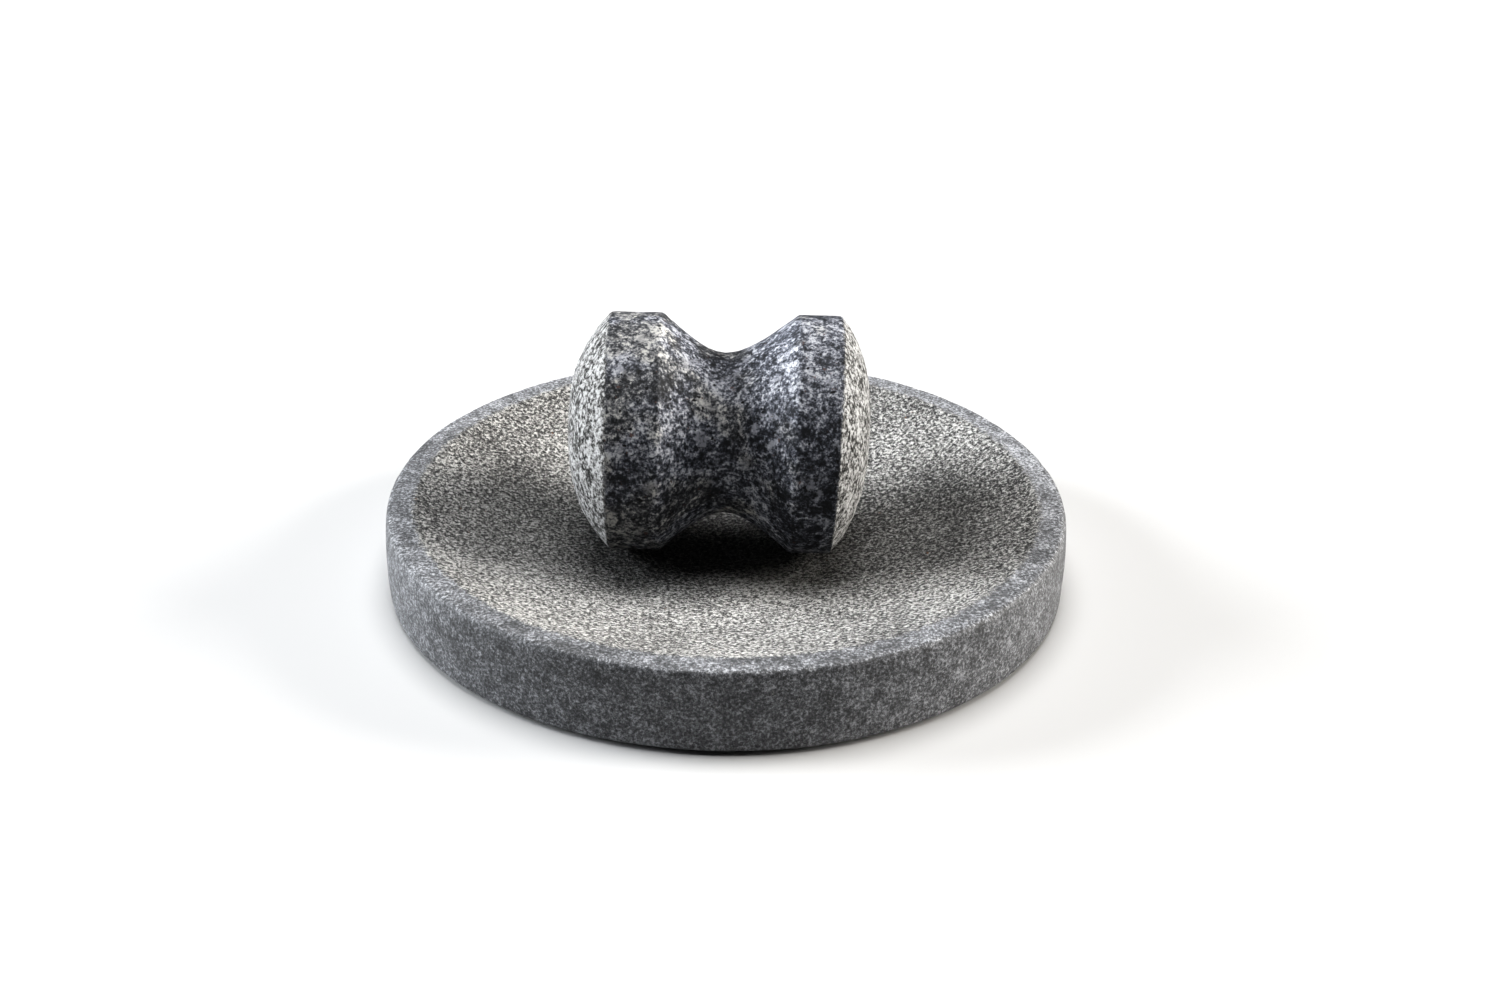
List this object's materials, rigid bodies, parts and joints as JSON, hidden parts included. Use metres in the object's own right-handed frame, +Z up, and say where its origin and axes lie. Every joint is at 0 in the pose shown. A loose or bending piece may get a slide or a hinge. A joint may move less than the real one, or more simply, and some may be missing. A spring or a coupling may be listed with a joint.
{
  "type": "stone mortar and pestle",
  "caption": "Shallow round stone dish with a flat rim and a loose spool-shaped stone pestle lying across its hollow.",
  "frame": {"origin": "middle of the dish's flat underside, on the surface it stands on", "axes": "+Z up, along the dish's axis; X along the pestle as it lies across the dish, +X towards its narrower-banded head; Y across the pestle"},
  "size_m": [0.2, 0.2, 0.0787],
  "materials": {
    "dish_stone": "matte",
    "pestle_stone": "matte"
  },
  "bodies": {
    "dish": {"dish": "dish_stone"},
    "pestle": {"pestle": "pestle_stone"}
  },
  "joints": [
    {"name": "pestle_lift", "type": "slide", "parent": "dish", "child": "pestle", "axis": [0, 0, 1], "range_m": [0, 0.1]}
  ]
}
